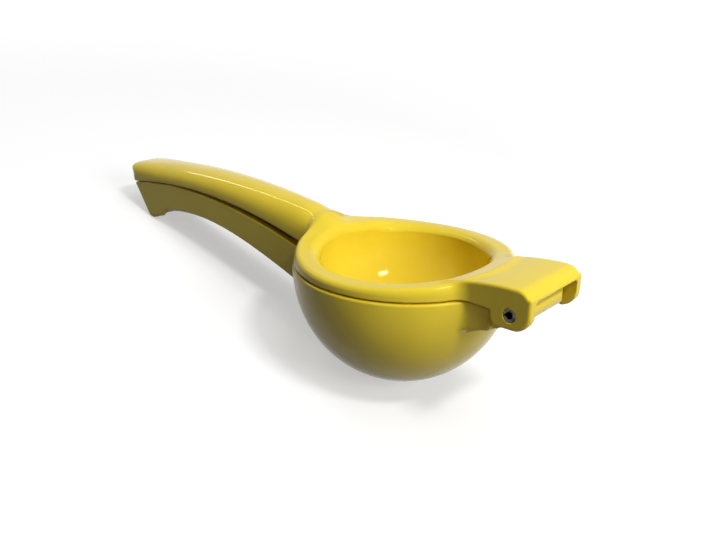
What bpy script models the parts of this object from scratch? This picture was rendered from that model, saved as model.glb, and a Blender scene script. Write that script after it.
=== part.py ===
"""Hand-held citrus press: two enamelled castings hinged on a slotted spring pin.

The lower casting is the strainer cup with its handle and hinge lug. The upper casting is the
press arm: a dish-shaped plunger with its flange, handle, hinge plate and two hinge ears.

Lengths are in metres. The castings are drawn in the rim frame: the origin is on the cup's axis,
in the middle of the gap between the cup's rim and the flange. +X points to the hinge and +Z
points out of the cup. The whole part is then tilted so that it lies on a table, on the bottom of
the cup and the flat pad of the handle's heel.
"""

import math

import bmesh
import bpy
from mathutils import Vector

# Cup
CUP_RADIUS = 0.0382
CUP_DEPTH = 0.0408
CUP_FULLNESS = 2.04
CUP_WALL = 0.0036
CUP_LAND = 0.0005
CUP_INNER_LAND = 0.0008
DRAIN_HOLE_DIAMETER = 0.0040
DRAIN_RING_PITCH = 0.0072
DRAIN_RING_COUNT = 2
DRAIN_RING_SPACES = 6

# Plunger and flange
RIM_GAP = 0.0005
JUICE_GAP = 0.0025
PEEL_GAP = 0.0095
PLUNGER_WALL = 0.0036
DISH_LIP_ROUND = 0.0040
FLANGE_INSET = 0.0008
FLANGE_THICKNESS = 0.00335
FLANGE_EDGE_HEIGHT = 0.0014
FLANGE_EDGE_ROUND = 0.0004
HINGE_RISE = 0.0034
NECK_RISE = 0.0040
NECK_CREST = 0.0028
NECK_CREST_HALF_WIDTH = 0.0140

# Handles; a reach is a distance beyond the cup's outside
HANDLE_REACH = 0.1110
HANDLE_HALF_WIDTH_END = 0.0105
HANDLE_HALF_WIDTH_NECK = 0.0094
HANDLE_WALL = 0.0030
CHANNEL_MARGIN = 0.0095
PARTING_APEX_REACH = 0.0668
PARTING_APEX_Z = 0.0079
PARTING_BEND_RADIUS = 0.240

# Upper handle
UPPER_CORNER_ROUND = 0.0050
UPPER_END_ROUND = 0.0020
UPPER_EDGE_ROUND = 0.0008
CROWN_APEX_REACH = 0.0598
CROWN_APEX_Z = 0.0155
CROWN_BEND_RADIUS = 0.420
CROWN_FULLNESS = 2.3
NECK_DROP_REACH = 0.0078
NECK_DROP_BEND_RADIUS = 0.0370
NECK_FILLET_RADIUS = 0.0090

# Lower handle
HANDLE_GAP_END = 0.0005
HANDLE_GAP_SLOPE = 0.033
HANDLE_GAP_REACH = 0.0798
UNDERSIDE_APEX_REACH = 0.0658
UNDERSIDE_APEX_Z = -0.0030
UNDERSIDE_SLOPE = 0.42
UNDERSIDE_BEND = 0.042
LOWER_END_INSET = 0.0037
LOWER_EDGE_ROUND = 0.0024
HEEL_DROP = 0.0051
HEEL_PAD_INSET = 0.0112
HEEL_PAD_LENGTH = 0.0026
HEEL_TOE_LENGTH = 0.0071
HEEL_TOE_RISE = 0.00115
HEEL_STEP_LENGTH = 0.0047
LOWER_ROOT_DEPTH = 0.0040

# Hinge
PIN_REACH = 0.0125
PIN_Z = -0.0004
PIN_DIAMETER = 0.0040
PIN_BORE = 0.0022
PIN_SLIT = 0.0008
PIN_SINK = 0.0011
PIN_CHAMFER = 0.0003
PIN_CLEARANCE = 0.0003
HINGE_HALF_WIDTH = 0.0155
EAR_THICKNESS = 0.0030
EAR_CLEARANCE = 0.0004
EAR_INNER_RADIUS = 0.0066
EAR_BOTTOM_DROP = 0.0046
EAR_TIP_REACH = 0.0069
EAR_TIP_ROUND = 0.0058
PLATE_TOP_RISE = 0.0086
PLATE_THICKNESS = 0.0033
PLATE_END_ROUND = 0.0050
PLATE_BEND_RADIUS = 0.108
BARREL_RADIUS = 0.0041
LUG_CLEARANCE = 0.0004
LUG_SHOULDER_DROP = 0.0075
LUG_UNDERSIDE_SLOPE = 0.20
TONGUE_CORNER_ROUND = 0.0040

# Fineness of the curved faces
TURN_STEPS = 56
ARC_STEPS = 12
ROUND_STEPS = 4
HANDLE_STEP = 0.0070
DRAIN_STEPS = 10
SHARP_ANGLE = 35.0

# Finishes
ENAMEL_COLOUR = (0.84, 0.61, 0.035, 1.0)
ENAMEL_ROUGHNESS = 0.22
STEEL_COLOUR = (0.60, 0.59, 0.57, 1.0)
STEEL_ROUGHNESS = 0.28

# How far a helper solid runs past a face that it cuts or joins, and stays under one that it meets
OVERLAP = 0.0010
BURIED = 0.0002

# Heights and radii that follow from the sizes above
CUP_TOP = -RIM_GAP / 2.0
CUP_BOTTOM = CUP_TOP - CUP_LAND - CUP_DEPTH
CUP_INNER_RADIUS = CUP_RADIUS - CUP_WALL
CUP_INNER_BOTTOM = CUP_BOTTOM + CUP_WALL
FLANGE_UNDER = RIM_GAP / 2.0
FLANGE_TOP = FLANGE_UNDER + FLANGE_THICKNESS
FLANGE_RADIUS = CUP_RADIUS - FLANGE_INSET
PLUNGER_RADIUS = CUP_INNER_RADIUS - JUICE_GAP
PLUNGER_BOTTOM = CUP_INNER_BOTTOM + PEEL_GAP
DISH_RADIUS = PLUNGER_RADIUS - PLUNGER_WALL
DISH_BOTTOM = PLUNGER_BOTTOM + PLUNGER_WALL
LIP_RADIUS = DISH_RADIUS + DISH_LIP_ROUND

# Places along the handles
UPPER_END_X = -CUP_RADIUS - HANDLE_REACH
CHANNEL_END_X = -CUP_RADIUS - CHANNEL_MARGIN
PARTING_APEX_X = -CUP_RADIUS - PARTING_APEX_REACH
CROWN_APEX_X = -CUP_RADIUS - CROWN_APEX_REACH
NECK_DROP_X = -CUP_RADIUS - NECK_DROP_REACH
HANDLE_GAP_X = -CUP_RADIUS - HANDLE_GAP_REACH
UNDERSIDE_APEX_X = -CUP_RADIUS - UNDERSIDE_APEX_REACH
LOWER_END_X = UPPER_END_X + LOWER_END_INSET
HEEL_PAD_X = LOWER_END_X + HEEL_PAD_INSET
HEEL_TOE_X = HEEL_PAD_X + HEEL_TOE_LENGTH
HEEL_BACK_X = HEEL_TOE_X + HEEL_STEP_LENGTH

# Places at the hinge
PIN_X = CUP_RADIUS + PIN_REACH
PIN_CENTRE = Vector((PIN_X, 0.0, PIN_Z))
EAR_INNER_Y = HINGE_HALF_WIDTH - EAR_THICKNESS
EAR_INNER_X = PIN_X - EAR_INNER_RADIUS
EAR_BOTTOM = PIN_Z - EAR_BOTTOM_DROP
EAR_TIP_X = PIN_X + EAR_TIP_REACH
PLATE_TOP = PIN_Z + PLATE_TOP_RISE
TONGUE_HALF_WIDTH = EAR_INNER_Y - EAR_CLEARANCE
LUG_FACE_X = EAR_INNER_X - LUG_CLEARANCE
LUG_TOP = CUP_TOP - BURIED
LUG_BOTTOM = PIN_Z - LUG_SHOULDER_DROP
PIN_HOLE_RADIUS = PIN_DIAMETER / 2.0 + PIN_CLEARANCE


def smoothstep(share):
    """Rise from 0 to 1 with level ends."""
    return share * share * (3.0 - 2.0 * share)


def arc(centre_x, centre_z, radius_x, radius_z, start, end, steps):
    """Points along an elliptic arc; the angles are in degrees, from +X towards +Z."""
    points = []
    for index in range(steps + 1):
        angle = math.radians(start + (end - start) * index / steps)
        points.append((centre_x + radius_x * math.cos(angle), centre_z + radius_z * math.sin(angle)))
    return points


def bowl(radius, equator, bottom, fullness):
    """Half profile of a bowl, from its lowest point on the axis up to its equator."""
    points = [(0.0, bottom)]
    for index in range(1, ARC_STEPS):
        angle = 0.5 * math.pi * index / ARC_STEPS
        out = math.sin(angle) ** (2.0 / fullness)
        down = math.cos(angle) ** (2.0 / fullness)
        points.append((radius * out, equator + (bottom - equator) * down))
    points.append((radius, equator))
    return points


def parting_arch(x):
    """Shallow arch that the closed handles meet along."""
    return PARTING_APEX_Z - (x - PARTING_APEX_X) ** 2 / (2.0 * PARTING_BEND_RADIUS)


def parting_height(x):
    """Underside of the upper handle: the arch, which ends level with the flange's underside."""
    return max(parting_arch(x), FLANGE_UNDER + BURIED)


def crown_height(x):
    """Ridge of the upper handle: a shallow arch that bends down to the dish's lip at the neck."""
    arch = CROWN_APEX_Z - (x - CROWN_APEX_X) ** 2 / (2.0 * CROWN_BEND_RADIUS)
    return arch - max(0.0, x - NECK_DROP_X) ** 2 / (2.0 * NECK_DROP_BEND_RADIUS)


def flange_rise(x, y):
    """How far the flange sweeps up: a little towards the hinge, more into the handle's neck."""
    share = x / FLANGE_RADIUS
    if share > 0.0:
        return HINGE_RISE * share ** 2
    crest = max(0.0, 1.0 - (y / NECK_CREST_HALF_WIDTH) ** 2) ** 2
    return NECK_RISE * abs(share) ** 3 + NECK_CREST * crest * share ** 4


def lower_top_height(x):
    """Top edge of the lower handle, under a gap that widens towards the cup."""
    return parting_arch(x) - HANDLE_GAP_END - HANDLE_GAP_SLOPE * max(0.0, x - HANDLE_GAP_X)


def underside_height(x):
    """Underside of the lower handle: level at its apex, straight and falling by the cup."""
    offset = x - UNDERSIDE_APEX_X
    return UNDERSIDE_APEX_Z - UNDERSIDE_SLOPE * (math.hypot(UNDERSIDE_BEND, offset) - UNDERSIDE_BEND)


def plate_top_height(x):
    """Top of the hinge plate, a very shallow arch that is level over the hinge."""
    offset = min(0.0, x - (EAR_TIP_X - PLATE_END_ROUND))
    return PLATE_TOP - offset ** 2 / (2.0 * PLATE_BEND_RADIUS)


def handle_half_width(x):
    """Half the handles' width, which tapers evenly from the end to the neck."""
    share = (x - UPPER_END_X) / HANDLE_REACH
    return HANDLE_HALF_WIDTH_END + (HANDLE_HALF_WIDTH_NECK - HANDLE_HALF_WIDTH_END) * share


def neck_fillet_start():
    """Where the fillet between the upper handle's side and the round flange leaves the handle."""
    side = HANDLE_HALF_WIDTH_NECK + NECK_FILLET_RADIUS
    return -math.sqrt((FLANGE_RADIUS + NECK_FILLET_RADIUS) ** 2 - side ** 2)


def neck_flare(x):
    """How far the neck's fillet widens the upper handle at x."""
    start = neck_fillet_start()
    end = start * FLANGE_RADIUS / (FLANGE_RADIUS + NECK_FILLET_RADIUS)
    along = min(max(x, start), end) - start
    return NECK_FILLET_RADIUS - math.sqrt(NECK_FILLET_RADIUS ** 2 - along ** 2)


def corner_inset(distance, radius):
    """How far a rounded corner pulls in at a distance from the end face."""
    if distance >= radius:
        return 0.0
    return radius - math.sqrt(max(radius ** 2 - (radius - distance) ** 2, 0.0))


def heel_pad_height():
    """Height of the middle of the heel's pad."""
    return underside_height(HEEL_BACK_X) - HEEL_DROP


def resting_tilt():
    """Angle of the rim plane when the cup's bottom and the heel's pad lie on one plane."""
    dual = CUP_FULLNESS / (CUP_FULLNESS - 1.0)
    pad_z = heel_pad_height()
    low, high = 0.0, math.radians(45.0)
    while high - low > 1e-12:
        tilt = 0.5 * (low + high)
        sine, cosine = math.sin(tilt), math.cos(tilt)
        pad_reach = -HEEL_PAD_X * sine - pad_z * cosine
        bowl_reach = ((CUP_RADIUS * sine) ** dual + (CUP_DEPTH * cosine) ** dual) ** (1.0 / dual)
        if pad_reach < bowl_reach + (CUP_LAND - CUP_TOP) * cosine:
            low = tilt
        else:
            high = tilt
    return low


def material(name, colour, roughness, metallic):
    """One Principled finish."""
    finish = bpy.data.materials.new(name)
    finish.use_nodes = True
    shader = finish.node_tree.nodes["Principled BSDF"]
    shader.inputs["Base Color"].default_value = colour
    shader.inputs["Roughness"].default_value = roughness
    shader.inputs["Metallic"].default_value = metallic
    return finish


def empty(name, parent, location):
    """A guide that other objects hang from."""
    guide = bpy.data.objects.new(name, None)
    bpy.context.scene.collection.objects.link(guide)
    guide.parent = parent
    guide.location = location
    return guide


def place(name, bm, parent):
    """Make an object of a mesh that is drawn in the rim frame, under the given parent."""
    bmesh.ops.recalc_face_normals(bm, faces=bm.faces)
    mesh = bpy.data.meshes.new(name)
    bm.to_mesh(mesh)
    bm.free()
    mesh.shade_smooth()
    mesh.set_sharp_from_angle(angle=math.radians(SHARP_ANGLE))
    piece = bpy.data.objects.new(name, mesh)
    bpy.context.scene.collection.objects.link(piece)
    piece.parent = parent
    if parent.parent is not None:
        piece.location = -parent.location
    return piece


def turned(profile):
    """A mesh turned about the cup's axis, from an open profile with both ends on the axis."""
    bm = bmesh.new()
    verts = [bm.verts.new((radius, 0.0, z)) for radius, z in profile]
    edges = [bm.edges.new(pair) for pair in zip(verts, verts[1:])]
    bmesh.ops.spin(bm, geom=verts + edges, cent=(0, 0, 0), axis=(0, 0, 1), angle=math.tau,
                   steps=TURN_STEPS, use_merge=True)
    bmesh.ops.remove_doubles(bm, verts=bm.verts, dist=1e-7)
    return bm


def loft(rings):
    """A mesh that skins closed rings of equal length and closes both ends."""
    bm = bmesh.new()
    rows = [[bm.verts.new(point) for point in ring] for ring in rings]
    count = len(rows[0])
    for near, far in zip(rows, rows[1:]):
        for index in range(count):
            following = (index + 1) % count
            bm.faces.new((near[index], near[following], far[following], far[index]))
    bm.faces.new(rows[0])
    bm.faces.new(rows[-1])
    return bm


def side_prism(outline, half_width):
    """A mesh of an XZ outline carried across Y."""
    return loft([[(x, side, z) for x, z in outline] for side in (-half_width, half_width)])


def cross_rod(name, radius, half_length, parent):
    """A round rod across the hinge, on the pin's axis."""
    outline = arc(PIN_X, PIN_Z, radius, radius, 0.0, 360.0, 2 * ARC_STEPS)[:-1]
    return place(name, side_prism(outline, half_length), parent)


def combine(target, other, operation):
    """Join, cut or intersect the target with a hidden helper solid."""
    boolean = target.modifiers.new(other.name, "BOOLEAN")
    boolean.object = other
    boolean.operation = operation
    boolean.solver = "EXACT"
    other.hide_render = True
    other.display_type = "WIRE"


def upper_section(x, inset, floor):
    """D-shaped ring of the upper handle at x, drawn in by inset, with its flat side at floor."""
    distance = x - UPPER_END_X - inset
    side = handle_half_width(x) + neck_flare(x)
    half_width = side - inset - corner_inset(distance, UPPER_CORNER_ROUND - inset)
    crown = crown_height(x) - inset - corner_inset(distance, UPPER_END_ROUND - inset)
    edge = UPPER_EDGE_ROUND
    spring = floor + edge
    steps = ARC_STEPS + ROUND_STEPS
    ring = [(x, half_width - edge, floor)]
    for index in range(steps + 1):
        angle = math.pi * index / steps
        across, rise = math.cos(angle), math.sin(angle)
        y = half_width * math.copysign(abs(across) ** (2.0 / CROWN_FULLNESS), across)
        ring.append((x, y, spring + (crown - spring) * rise ** (2.0 / CROWN_FULLNESS)))
    ring.append((x, edge - half_width, floor))
    return ring


def handle_stations(start, end, round_length):
    """Section places along a handle: close together at the rounded end, then evenly spaced."""
    stations = [start + round_length * (1.0 - math.cos(0.5 * math.pi * index / ROUND_STEPS))
                for index in range(ROUND_STEPS + 1)]
    first = stations[-1]
    count = math.ceil((end - first) / HANDLE_STEP)
    stations += [first + (end - first) * index / count for index in range(1, count + 1)]
    return stations


def upper_handle(parent):
    """Solid of the upper handle, which flares at the neck and ends at the dish's lip."""
    neck = neck_fillet_start()
    stations = handle_stations(UPPER_END_X, neck, UPPER_CORNER_ROUND)
    end = BURIED - LIP_RADIUS
    steps = 2 * ROUND_STEPS
    stations += [neck + (end - neck) * index / steps for index in range(1, steps + 1)]
    rings = [upper_section(x, 0.0, parting_height(x)) for x in stations]
    return place("upper_handle_solid", loft(rings), parent)


def upper_channel(parent):
    """Hollow in the underside of the upper handle."""
    start = UPPER_END_X + HANDLE_WALL
    stations = handle_stations(start, CHANNEL_END_X, UPPER_CORNER_ROUND - HANDLE_WALL)
    rings = [upper_section(x, HANDLE_WALL, parting_height(x) - OVERLAP) for x in stations]
    return place("upper_channel_cutter", loft(rings), parent)


def flange_and_plunger(parent):
    """Flange with the plunger's round outside below it, solid inside and swept up on top."""
    shoulder = FLANGE_UNDER + FLANGE_EDGE_HEIGHT
    edge = FLANGE_EDGE_ROUND
    profile = bowl(PLUNGER_RADIUS, FLANGE_UNDER, PLUNGER_BOTTOM, 2.0)
    profile += arc(FLANGE_RADIUS - edge, FLANGE_UNDER + edge, edge, edge, -90.0, 0.0, ROUND_STEPS)
    profile += arc(LIP_RADIUS, shoulder, FLANGE_RADIUS - LIP_RADIUS, FLANGE_TOP - shoulder,
                   0.0, 90.0, 2 * ROUND_STEPS)
    profile.append((0.0, FLANGE_TOP))
    bm = turned(profile)
    for vert in bm.verts:
        share = (vert.co.z - shoulder) / (FLANGE_TOP - shoulder)
        vert.co.z += flange_rise(vert.co.x, vert.co.y) * max(share, 0.0)
    return place("press_arm", bm, parent)


def dish_cutter(parent):
    """Hollow of the dish; its rounded lip follows the flange's sweep."""
    lip = DISH_LIP_ROUND
    spring = FLANGE_TOP - lip
    roof = CROWN_APEX_Z + NECK_RISE
    profile = bowl(DISH_RADIUS, spring, DISH_BOTTOM, 2.0)
    profile += arc(LIP_RADIUS, spring, lip, lip, 180.0, 90.0, ROUND_STEPS)[1:]
    profile += [(LIP_RADIUS, roof), (0.0, roof)]
    bm = turned(profile)
    for vert in bm.verts:
        if spring - BURIED < vert.co.z < roof - BURIED:
            vert.co.z += flange_rise(vert.co.x, vert.co.y)
    return place("dish_cutter", bm, parent)


def hinge_plate(parent):
    """Hinge plate and ears as one block, as wide as the hinge, with a round end."""
    under = FLANGE_UNDER + BURIED
    radius = EAR_INNER_RADIUS
    low_angle = -180.0 + math.degrees(math.asin(EAR_BOTTOM_DROP / radius))
    high_angle = -180.0 - math.degrees(math.asin((under - PIN_Z) / radius))
    outline = [(LIP_RADIUS, under)]
    outline += arc(PIN_X, PIN_Z, radius, radius, high_angle, low_angle, ROUND_STEPS)
    outline += arc(EAR_TIP_X - EAR_TIP_ROUND, EAR_BOTTOM + EAR_TIP_ROUND, EAR_TIP_ROUND, EAR_TIP_ROUND,
                   -90.0, 0.0, 2 * ROUND_STEPS)
    outline += arc(EAR_TIP_X - PLATE_END_ROUND, PLATE_TOP - PLATE_END_ROUND, PLATE_END_ROUND, PLATE_END_ROUND,
                   0.0, 90.0, 2 * ROUND_STEPS)
    span = outline[-1][0] - LIP_RADIUS
    places = [outline[-1][0] - span * index / ROUND_STEPS for index in range(1, ROUND_STEPS + 1)]
    outline += [(x, plate_top_height(x)) for x in places]
    return place("hinge_plate_solid", side_prism(outline, HINGE_HALF_WIDTH), parent)


def ear_slot(parent):
    """Space between the ears, under the hinge plate."""
    ceiling = PLATE_TOP - PLATE_THICKNESS
    floor = EAR_BOTTOM - OVERLAP
    end = EAR_TIP_X + OVERLAP
    outline = [(EAR_INNER_X, floor), (end, floor), (end, ceiling), (EAR_INNER_X, ceiling)]
    return place("ear_slot_cutter", side_prism(outline, EAR_INNER_Y), parent)


def press_arm(parent, finish):
    """The upper casting."""
    arm = flange_and_plunger(parent)
    combine(arm, upper_handle(parent), "UNION")
    combine(arm, hinge_plate(parent), "UNION")
    combine(arm, dish_cutter(parent), "DIFFERENCE")
    combine(arm, upper_channel(parent), "DIFFERENCE")
    combine(arm, ear_slot(parent), "DIFFERENCE")
    bore = cross_rod("ear_bore_cutter", PIN_HOLE_RADIUS, HINGE_HALF_WIDTH + OVERLAP, parent)
    combine(arm, bore, "DIFFERENCE")
    arm.data.materials.append(finish)
    return arm


def cup_outside(parent):
    """Outside of the cup, filled to its rim plane."""
    equator = CUP_TOP - CUP_LAND
    profile = bowl(CUP_RADIUS, equator, CUP_BOTTOM, CUP_FULLNESS)
    profile += arc(CUP_RADIUS - CUP_LAND, equator, CUP_LAND, CUP_LAND, 0.0, 90.0, ROUND_STEPS)[1:]
    profile.append((0.0, CUP_TOP))
    return place("strainer_cup", turned(profile), parent)


def cup_hollow(parent):
    """Inside of the cup, with the rim's inner edge rounded."""
    edge = CUP_INNER_LAND
    equator = CUP_TOP - edge
    profile = bowl(CUP_INNER_RADIUS, equator, CUP_INNER_BOTTOM, CUP_FULLNESS)
    profile += arc(CUP_INNER_RADIUS + edge, equator, edge, edge, 180.0, 90.0, ROUND_STEPS)[1:]
    profile += [(CUP_INNER_RADIUS + edge, OVERLAP), (0.0, OVERLAP)]
    return place("cup_hollow_cutter", turned(profile), parent)


def heel_outline():
    """Side outline of the handle's slanted end, its heel pad and the step back to the underside."""
    tilt = resting_tilt()
    pad_z = heel_pad_height()
    along_x = 0.5 * HEEL_PAD_LENGTH * math.cos(tilt)
    along_z = 0.5 * HEEL_PAD_LENGTH * math.sin(tilt)
    outline = [(LOWER_END_X, lower_top_height(LOWER_END_X))]
    outline += [(HEEL_PAD_X - along_x, pad_z + along_z), (HEEL_PAD_X + along_x, pad_z - along_z)]
    toe_z = pad_z + HEEL_TOE_RISE
    climb = underside_height(HEEL_BACK_X) - toe_z
    for index in range(ROUND_STEPS + 1):
        share = index / ROUND_STEPS
        outline.append((HEEL_TOE_X + HEEL_STEP_LENGTH * share, toe_z + climb * smoothstep(share)))
    return outline


def lower_handle(parent):
    """Solid of the lower handle, rooted all through the cup's wall, with its lower edges rounded."""
    root = LOWER_ROOT_DEPTH - CUP_INNER_RADIUS
    count = math.ceil((root - HEEL_BACK_X) / HANDLE_STEP)
    low_places = [HEEL_BACK_X + (root - HEEL_BACK_X) * index / count for index in range(1, count + 1)]
    rounded = heel_outline() + [(x, underside_height(x)) for x in low_places]
    count = math.ceil((root - LOWER_END_X) / HANDLE_STEP)
    top_places = [root - (root - LOWER_END_X) * index / count for index in range(count)]
    top = [(x, lower_top_height(x)) for x in top_places]
    bm = side_prism(rounded + top, HANDLE_HALF_WIDTH_END)
    bm.verts.ensure_lookup_table()
    ring_length = len(rounded) + len(top)
    edges = [bm.edges.get((bm.verts[first + index], bm.verts[first + index + 1]))
             for first in (0, ring_length) for index in range(len(rounded) - 1)]
    bmesh.ops.bevel(bm, geom=edges, offset=LOWER_EDGE_ROUND, segments=ROUND_STEPS, profile=0.5,
                    affect="EDGES", clamp_overlap=True)
    for vert in bm.verts:
        vert.co.y *= handle_half_width(vert.co.x) / HANDLE_HALF_WIDTH_END
    return place("lower_handle_solid", bm, parent)


def lower_channel(parent):
    """Hollow in the top of the lower handle."""
    start = LOWER_END_X + 2.0 * HANDLE_WALL
    span = CHANNEL_END_X - start
    count = math.ceil(span / HANDLE_STEP)
    places = [start + span * index / count for index in range(count + 1)]
    outline = [(x, underside_height(x) + HANDLE_WALL) for x in places]
    outline += [(x, lower_top_height(x) + OVERLAP) for x in reversed(places)]
    bm = side_prism(outline, HANDLE_HALF_WIDTH_NECK - HANDLE_WALL)
    return place("lower_channel_cutter", bm, parent)


def hinge_lug(parent):
    """Wide lug that carries the tongue, rooted in the cup's wall."""
    root = CUP_INNER_RADIUS
    root_bottom = LUG_BOTTOM - LUG_UNDERSIDE_SLOPE * (LUG_FACE_X - root)
    outline = [(root, root_bottom), (LUG_FACE_X, LUG_BOTTOM), (LUG_FACE_X, LUG_TOP), (root, LUG_TOP)]
    return place("hinge_lug_solid", side_prism(outline, HINGE_HALF_WIDTH), parent)


def tangent_angle(point_x, point_z, side):
    """Angle on the barrel where a straight line from the point touches it, above or below."""
    offset_x, offset_z = point_x - PIN_X, point_z - PIN_Z
    towards = math.degrees(math.atan2(offset_z, offset_x))
    return towards - side * math.degrees(math.acos(BARREL_RADIUS / math.hypot(offset_x, offset_z)))


def tongue(parent):
    """Hinge tongue: straight sides that run into the barrel round the pin, with rounded corners."""
    start = tangent_angle(LUG_FACE_X, LUG_BOTTOM, -1.0) % 360.0 - 360.0
    end = tangent_angle(LUG_FACE_X, LUG_TOP, 1.0) % 360.0
    outline = [(LUG_FACE_X - OVERLAP, LUG_BOTTOM), (LUG_FACE_X, LUG_BOTTOM)]
    outline += arc(PIN_X, PIN_Z, BARREL_RADIUS, BARREL_RADIUS, start, end, 2 * ARC_STEPS)
    outline += [(LUG_FACE_X, LUG_TOP), (LUG_FACE_X - OVERLAP, LUG_TOP)]
    body = place("tongue_solid", side_prism(outline, TONGUE_HALF_WIDTH), parent)
    combine(body, tongue_plan(parent), "INTERSECT")
    return body


def tongue_plan(parent):
    """Plan of the tongue with its two outer corners rounded."""
    tip = PIN_X + BARREL_RADIUS
    corner = TONGUE_CORNER_ROUND
    side = TONGUE_HALF_WIDTH
    back = LUG_FACE_X - 2.0 * OVERLAP
    outline = [(back, -side)]
    outline += arc(tip - corner, corner - side, corner, corner, -90.0, 0.0, ROUND_STEPS)
    outline += arc(tip - corner, side - corner, corner, corner, 0.0, 90.0, ROUND_STEPS)
    outline.append((back, side))
    bm = loft([[(x, y, z) for x, y in outline] for z in (-CUP_DEPTH, CUP_DEPTH)])
    return place("tongue_plan_guide", bm, parent)


def drain_holes(parent):
    """Straight rods that drill the strainer's holes, parallel to the cup's axis."""
    bm = bmesh.new()
    length = CUP_DEPTH / 2.0
    radius = DRAIN_HOLE_DIAMETER / 2.0
    places = [(0.0, 0.0)]
    for ring in range(1, DRAIN_RING_COUNT + 1):
        count = DRAIN_RING_SPACES * ring
        places += [(DRAIN_RING_PITCH * ring, math.tau * index / count) for index in range(count)]
    for distance, angle in places:
        rod = bmesh.ops.create_cone(bm, cap_ends=True, segments=DRAIN_STEPS, depth=length,
                                    radius1=radius, radius2=radius)
        centre = (distance * math.cos(angle), distance * math.sin(angle), CUP_BOTTOM)
        bmesh.ops.translate(bm, verts=rod["verts"], vec=centre)
    return place("drain_hole_cutter", bm, parent)


def strainer_cup(parent, finish):
    """The lower casting."""
    cup = cup_outside(parent)
    combine(cup, lower_handle(parent), "UNION")
    combine(cup, hinge_lug(parent), "UNION")
    combine(cup, tongue(parent), "UNION")
    combine(cup, cup_hollow(parent), "DIFFERENCE")
    combine(cup, lower_channel(parent), "DIFFERENCE")
    combine(cup, drain_holes(parent), "DIFFERENCE")
    bore = cross_rod("tongue_bore_cutter", PIN_HOLE_RADIUS, HINGE_HALF_WIDTH, parent)
    combine(cup, bore, "DIFFERENCE")
    cup.data.materials.append(finish)
    return cup


def pin_ring(y, chamfer):
    """C-shaped ring of the spring pin at y, open at its slit."""
    outer = PIN_DIAMETER / 2.0
    inner = PIN_BORE / 2.0
    half_slit = math.degrees(math.asin(PIN_SLIT / PIN_DIAMETER))
    start, end = 180.0 + half_slit, 540.0 - half_slit
    outside = arc(PIN_X, PIN_Z, outer - chamfer, outer - chamfer, start, end, 2 * ARC_STEPS)
    inside = arc(PIN_X, PIN_Z, inner, inner, end, start, 2 * ARC_STEPS)
    return [(x, y, z) for x, z in outside + inside]


def hinge_pin(parent, finish):
    """Slotted spring pin: a rolled tube with a slit along it and chamfered ends."""
    half_length = HINGE_HALF_WIDTH - PIN_SINK
    straight = half_length - PIN_CHAMFER
    stations = ((-half_length, PIN_CHAMFER), (-straight, 0.0), (straight, 0.0), (half_length, PIN_CHAMFER))
    pin = place("hinge_pin", loft([pin_ring(y, chamfer) for y, chamfer in stations]), parent)
    pin.data.materials.append(finish)
    return pin


def settle(frame, pieces):
    """Set the part down: its lowest point on the ground, its plan box centred on the origin."""
    bpy.context.view_layer.update()
    graph = bpy.context.evaluated_depsgraph_get()
    corners = []
    for piece in pieces:
        evaluated = piece.evaluated_get(graph)
        corners += [evaluated.matrix_world @ vert.co for vert in evaluated.data.vertices]
    low = Vector([min(corner[axis] for corner in corners) for axis in range(3)])
    high = Vector([max(corner[axis] for corner in corners) for axis in range(3)])
    centre = 0.5 * (low + high)
    frame.location = (-centre.x, -centre.y, -low.z)


def build():
    """Build the whole part."""
    for old in list(bpy.data.objects):
        bpy.data.objects.remove(old, do_unlink=True)
    rim_frame = empty("rim_frame", None, (0.0, 0.0, 0.0))
    rim_frame.rotation_euler = (0.0, -resting_tilt(), 0.0)
    press_pivot = empty("press_pivot", rim_frame, PIN_CENTRE)
    enamel = material("yellow_enamel", ENAMEL_COLOUR, ENAMEL_ROUGHNESS, 0.0)
    press_enamel = material("yellow_enamel_press", ENAMEL_COLOUR, ENAMEL_ROUGHNESS, 0.0)
    steel = material("spring_steel", STEEL_COLOUR, STEEL_ROUGHNESS, 1.0)
    pieces = [
        strainer_cup(rim_frame, enamel),
        press_arm(press_pivot, press_enamel),
        hinge_pin(press_pivot, steel),
    ]
    settle(rim_frame, pieces)


build()
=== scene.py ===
"""Dressed citrus press: two glossy yellow enamelled castings hinged on a slotted steel pin.

Cast metal has no edges of its own: every face runs into the next through a fillet of its own
radius, and at the neck, the lip and the hinge several of these run together. A grid of two
parameters can't follow that, so each casting is the zero surface of a field over space, worked out
as whole numpy arrays: formulas for the faces, joined and cut with circular fillets. The pin is a
C-shaped profile carried along its axis.

Lengths of the castings are in millimetres in the rim frame: origin on the cup's axis in the gap
under the flange, +X to the hinge, +Z out of the cup.
"""

import math

import bpy
import numpy as np
from mathutils import Matrix, Vector


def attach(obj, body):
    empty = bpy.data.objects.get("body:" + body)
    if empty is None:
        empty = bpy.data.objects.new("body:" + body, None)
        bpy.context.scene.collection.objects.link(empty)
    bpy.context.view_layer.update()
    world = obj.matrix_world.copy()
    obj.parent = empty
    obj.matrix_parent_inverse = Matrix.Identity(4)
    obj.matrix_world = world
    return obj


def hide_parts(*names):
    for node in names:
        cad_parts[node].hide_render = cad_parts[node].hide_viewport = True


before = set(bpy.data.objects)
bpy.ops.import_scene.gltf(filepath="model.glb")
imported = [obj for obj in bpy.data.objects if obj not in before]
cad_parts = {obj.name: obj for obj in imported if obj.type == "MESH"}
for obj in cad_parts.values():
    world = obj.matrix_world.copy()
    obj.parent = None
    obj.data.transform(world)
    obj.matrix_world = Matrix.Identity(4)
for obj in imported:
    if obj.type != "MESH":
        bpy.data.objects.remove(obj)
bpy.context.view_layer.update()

MM = 0.001

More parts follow.
